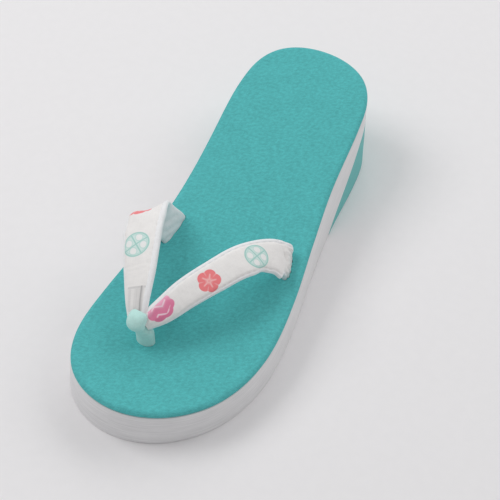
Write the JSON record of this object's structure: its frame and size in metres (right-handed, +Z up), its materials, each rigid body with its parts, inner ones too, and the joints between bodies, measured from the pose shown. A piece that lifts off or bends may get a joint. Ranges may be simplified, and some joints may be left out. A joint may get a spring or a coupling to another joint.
{
  "type": "zori sandal",
  "caption": "Wedge-soled zori sandal for the left foot, cloth-covered footbed, padded printed thong straps and a soft toe post.",
  "frame": {"origin": "on the floor, under the middle of the sandal's box", "axes": "+Y towards the toe, +Z up, -X towards the outer side of the foot"},
  "size_m": [0.0938, 0.2434, 0.0539],
  "materials": {
    "teal_cloth": "matte woven cloth",
    "white_foam": "matte foam with fine lines along the edge",
    "teal_foam": "matte foam",
    "strap_cloth": "smooth printed cloth, padded",
    "mint_velvet": "short velvet pile"
  },
  "bodies": {
    "root": {"footbed_cover": "teal_cloth", "platform": "white_foam", "heel_wedge": "teal_foam", "straps": "strap_cloth", "toe_post": "mint_velvet"}
  },
  "joints": []
}
